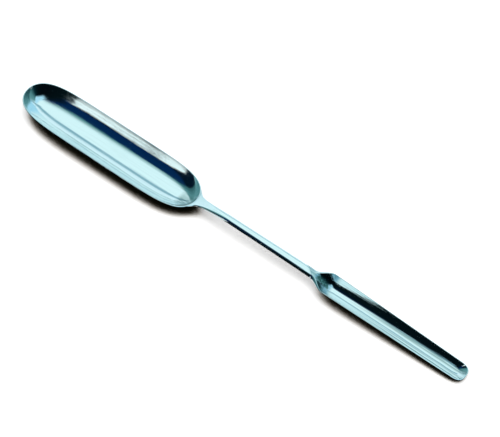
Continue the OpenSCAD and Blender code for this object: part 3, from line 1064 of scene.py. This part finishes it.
def room_colours(tree):
    facing = add_node(tree, "ShaderNodeTexCoord").outputs["Generated"]
    height = along(tree, facing, UP)
    # Walls, by the way they lie round the table
    level = add_node(tree, "ShaderNodeVectorMath", operation="MULTIPLY")
    feed(tree, level.inputs[0], facing)
    level.inputs[1].default_value = (1, 1, 0)
    unit = add_node(tree, "ShaderNodeVectorMath", operation="NORMALIZE")
    feed(tree, unit.inputs[0], level.outputs[0])

    def toward(turn):
        return along(tree, unit.outputs[0], level_direction(turn))

    toward_bright = toward(ROOM_TURN)
    walls = colour_ramp(tree, maths(tree, "MULTIPLY_ADD", toward_bright, 0.5, 0.5), ROOM_STOPS)
    dark = soft_step(tree, toward(DARK_TURN), *DARK_SIDES)
    walls = blend_colour(tree, dark, walls, LEFT_DARK)
    aside = toward(DARK_TURN + math.pi / 2)
    navy = times(
        tree,
        soft_step(tree, toward(NAVY_TURN), *NAVY_SIDES),
        slanted_edge(tree, height, NAVY_LOW_SLOPE, aside, NAVY_LOW),
        slanted_edge(tree, height, NAVY_HIGH_SLOPE, aside, NAVY_HIGH),
    )
    walls = blend_colour(tree, navy, walls, LEFT_NAVY)
    aside = toward(CARD_TURN + math.pi / 2)
    base = soft_step(tree, height, *CARD_BASE)
    card = times(
        tree,
        soft_step(tree, toward_bright, *CARD_HALF),
        slanted_edge(tree, height, CARD_RIGHT_SLOPE, aside, CARD_RIGHT_TOP),
        slanted_edge(tree, height, CARD_LEFT_SLOPE, aside, CARD_LEFT_TOP),
        soft_step(tree, aside, *CARD_RIGHT_END),
        soft_step(tree, aside, *CARD_LEFT_END),
        maths(tree, "MULTIPLY_ADD", base, CARD_BASE_SHADE, 1 - CARD_BASE_SHADE),
    )
    walls = blend_colour(tree, card, walls, CARD_WHITE)
    low = soft_step(tree, height, *HORIZON)
    horizon = times(tree, low, soft_step(tree, toward_bright, *HORIZON_HALF))
    walls = blend_colour(tree, horizon, walls, GAP_TEAL)
    # Softbox, as a flat rectangle overhead, with a gap between it and the bright wall beyond
    over = maths(tree, "MAXIMUM", height, LOWEST_LOOK)
    across = maths(tree, "DIVIDE", along(tree, facing, RIGHT), over)
    away = maths(tree, "DIVIDE", along(tree, facing, AWAY), over)
    gap = times(
        tree,
        soft_step(tree, away, *GAP_NEAR),
        soft_step(tree, away, *GAP_FAR),
        soft_step(tree, across, *GAP_LEFT),
    )
    walls = blend_colour(tree, gap, walls, GAP_TEAL)
    flag_side = slanted_edge(tree, away, FLAG_SLOPE, across, FLAG_SIDE)
    flag = times(tree, flag_side, soft_step(tree, away, *FLAG_NEAR))
    sides = times(tree, soft_step(tree, across, *SOFTBOX_LEFT), soft_step(tree, across, *SOFTBOX_RIGHT))
    ends = times(tree, soft_step(tree, away, *SOFTBOX_NEAR), soft_step(tree, away, *SOFTBOX_FAR))
    ends = times(tree, ends, maths(tree, "SUBTRACT", 1.0, flag))
    blue_right = slanted_edge(tree, across, BLUE_SLOPE, away, BLUE_RIGHT)
    blueing = maths(tree, "MAXIMUM", blue_right, soft_step(tree, away, *BLUE_NEAR))
    softbox = blend_colour(tree, blueing, SOFTBOX_PALE, SOFTBOX_BLUE)
    return blend_colour(tree, times(tree, sides, ends), walls, softbox)


def background(tree, colour, strength):
    node = add_node(tree, "ShaderNodeBackground")
    feed(tree, node.inputs["Color"], colour)
    feed(tree, node.inputs["Strength"], strength)
    return node.outputs[0]


def mix_shaders(tree, share, first, second):
    node = add_node(tree, "ShaderNodeMixShader")
    for socket, value in zip(node.inputs, (share, first, second)):
        feed(tree, socket, value)
    return node.outputs[0]


# The metal sees the room, the camera sees white, and the rest gets a faint warm fill
FILL_COLOUR = (1.0, 0.90, 0.78, 1)
FILL_LIGHT = 0.04
ROOM_LIGHT = 1.0
BACKDROP_WHITE = (1, 1, 1, 1)
BACKDROP_LIGHT = 1.0
world = bpy.data.worlds.new("studio")
bpy.context.scene.world = world
world.use_nodes = True
sky = world.node_tree
sky.nodes.clear()
rays = add_node(sky, "ShaderNodeLightPath").outputs
fill = background(sky, FILL_COLOUR, FILL_LIGHT)
room = background(sky, room_colours(sky), ROOM_LIGHT)
backdrop = background(sky, BACKDROP_WHITE, BACKDROP_LIGHT)
in_metal = maths(sky, "MAXIMUM", rays["Is Glossy Ray"], rays["Is Transmission Ray"])
lit = mix_shaders(sky, in_metal, fill, room)
seen = mix_shaders(sky, rays["Is Camera Ray"], lit, backdrop)
feed(sky, add_node(sky, "ShaderNodeOutputWorld").inputs["Surface"], seen)

# Camera
CAMERA_DISTANCE = 0.781
CAMERA_TARGET = Vector((0.0001, 0.00839, 0.0))
CAMERA_LENS = 135.0
CAMERA_SENSOR_W = 36.0
CAMERA_SIGHT = 20.0
lens = bpy.data.cameras.new("camera")
lens.lens = CAMERA_LENS
lens.sensor_width = CAMERA_SENSOR_W
lens.clip_end = CAMERA_SIGHT
camera = bpy.data.objects.new("camera", lens)
camera_back = UP * math.sin(VIEW_ELEVATION) - AWAY * math.cos(VIEW_ELEVATION)
camera.location = CAMERA_TARGET + camera_back * CAMERA_DISTANCE
camera.rotation_euler = camera_back.to_track_quat("Z", "Y").to_euler()
bpy.context.collection.objects.link(camera)
bpy.context.scene.camera = camera
bpy.context.scene.view_settings.view_transform = "Standard"
